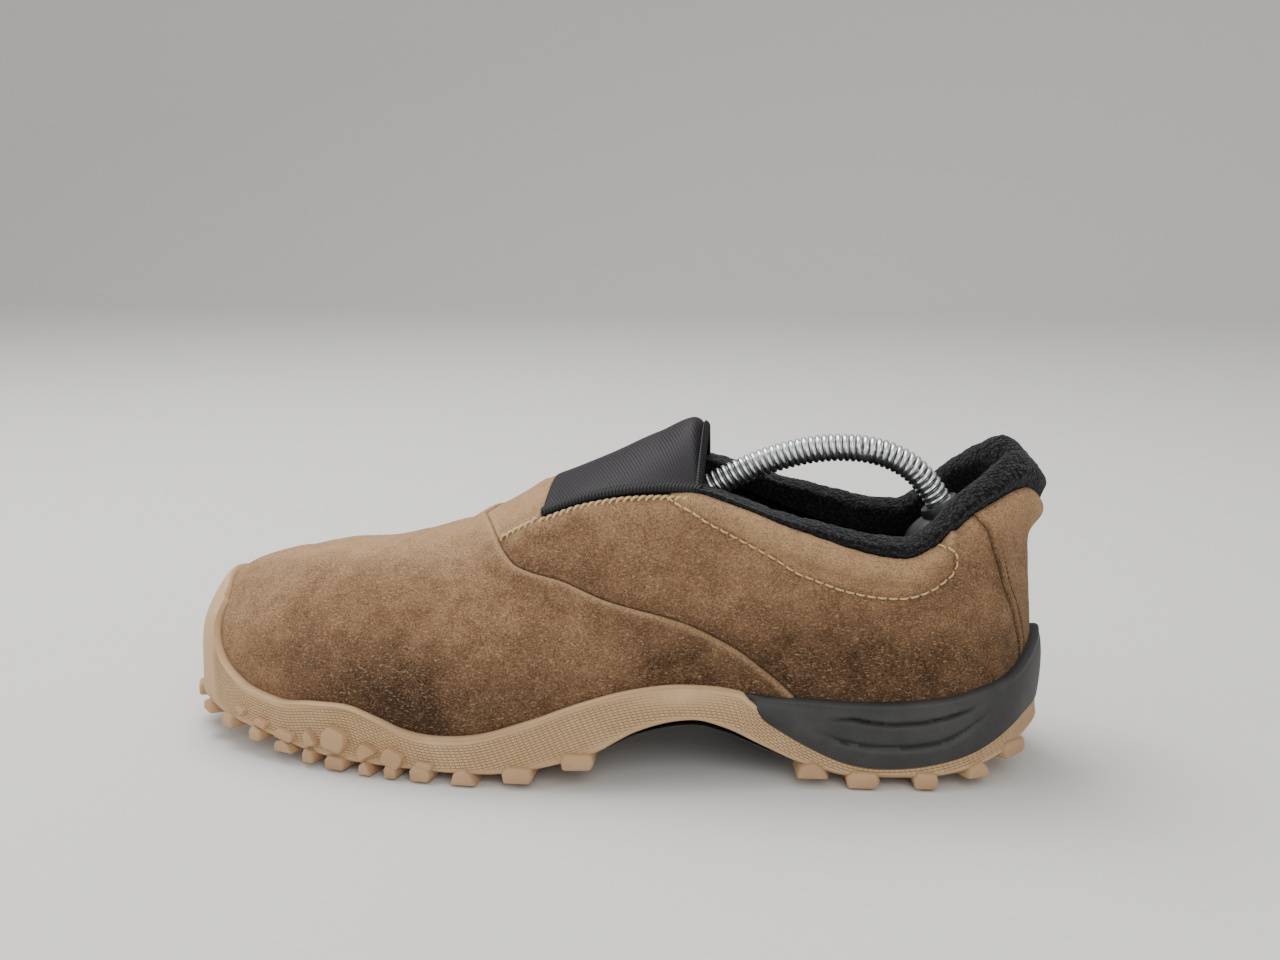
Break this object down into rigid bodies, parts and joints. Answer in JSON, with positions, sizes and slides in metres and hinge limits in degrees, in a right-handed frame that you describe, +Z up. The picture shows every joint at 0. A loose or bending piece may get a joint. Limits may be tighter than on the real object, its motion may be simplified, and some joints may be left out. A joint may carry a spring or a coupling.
{
  "type": "moccasin",
  "caption": "Slip-on moccasin for the left foot, with elastic gore, padded collar and lugged sole, holding a spring shoe tree.",
  "frame": {"origin": "middle of the bottom of the shoe's bounding box, on the ground", "axes": "+X from toe to heel, -Y to the outer (lateral) side, +Z up"},
  "size_m": [0.2992, 0.1078, 0.1128],
  "materials": {
    "suede": "brushed suede nap",
    "sole_rubber": "matt moulded, fine woven texture on the wall",
    "sole_foam": "matt moulded EVA skin",
    "footbed_foam": "open foam",
    "arch_plastic": "moulded TPU",
    "insole_board": "fibre board",
    "shank_steel": "plain strip",
    "elastic": "diagonal satin elastic",
    "binding": "bound tape with whip stitches",
    "fleece": "short looped fleece",
    "stiffener": "thermoplastic sheet",
    "tree_plastic": "moulded plastic",
    "spring_steel": "bright close-wound wire"
  },
  "bodies": {
    "shoe": {"outsole": "sole_rubber", "midsole": "sole_foam", "footbed_foam": "footbed_foam", "footbed_cover": "fleece", "arch_plate": "arch_plastic", "insole_board": "insole_board", "shank": "shank_steel", "vamp": "suede", "quarter_lateral": "suede", "quarter_medial": "suede", "heel_panel": "suede", "instep_tab": "suede", "gore": "elastic", "gore_binding_lateral": "binding", "gore_binding_medial": "binding", "throat_binding": "binding", "toe_puff": "stiffener", "heel_counter": "stiffener", "vamp_lining": "fleece", "quarter_lining": "fleece", "collar_pad": "fleece", "tree_toe_form": "tree_plastic", "tree_pin": "spring_steel"},
    "tree_arm": {"tree_spring": "spring_steel", "tree_spring_eye": "spring_steel", "tree_heel_knob": "tree_plastic"}
  },
  "joints": [
    {"name": "tree_lift", "type": "hinge", "parent": "shoe", "child": "tree_arm", "pos_m": [-0.00431, 0.00119, 0.064], "axis": [0, -1, 0], "range_deg": [0, 12]}
  ]
}
